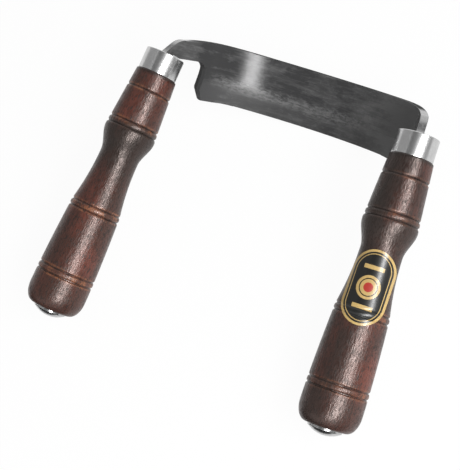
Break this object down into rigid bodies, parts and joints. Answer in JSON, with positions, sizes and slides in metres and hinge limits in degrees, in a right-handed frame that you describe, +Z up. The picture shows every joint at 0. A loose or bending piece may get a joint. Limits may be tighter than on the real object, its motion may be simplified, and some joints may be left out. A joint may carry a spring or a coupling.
{
  "type": "inshave",
  "caption": "Inshave: a deep curved drawing blade with a bevelled edge, between two turned wooden handles with steel ferrules and domed cap nuts.",
  "frame": {"origin": "on the surface that the tool lies on, under the middle of its bounding box", "axes": "+X from the left handle to the right one, across the tool's mirror plane; +Y towards the blade; the handles point towards -Y; +Z up, and the cutting edge and both butts touch Z = 0"},
  "size_m": [0.1824, 0.1736, 0.0615],
  "materials": {
    "blade_steel": "dark, brushed along the blade, satin",
    "handle_wood": "dark red-brown stain under satin lacquer",
    "ferrule_metal": "polished plating",
    "cap_metal": "polished plating",
    "label_skin": "black and gold plain transfer, satin"
  },
  "bodies": {
    "root": {"blade": "blade_steel", "handle_left": "handle_wood", "handle_right": "handle_wood", "ferrule_left": "ferrule_metal", "ferrule_right": "ferrule_metal", "cap_nut_left": "cap_metal", "cap_nut_right": "cap_metal", "label": "label_skin"}
  },
  "joints": []
}
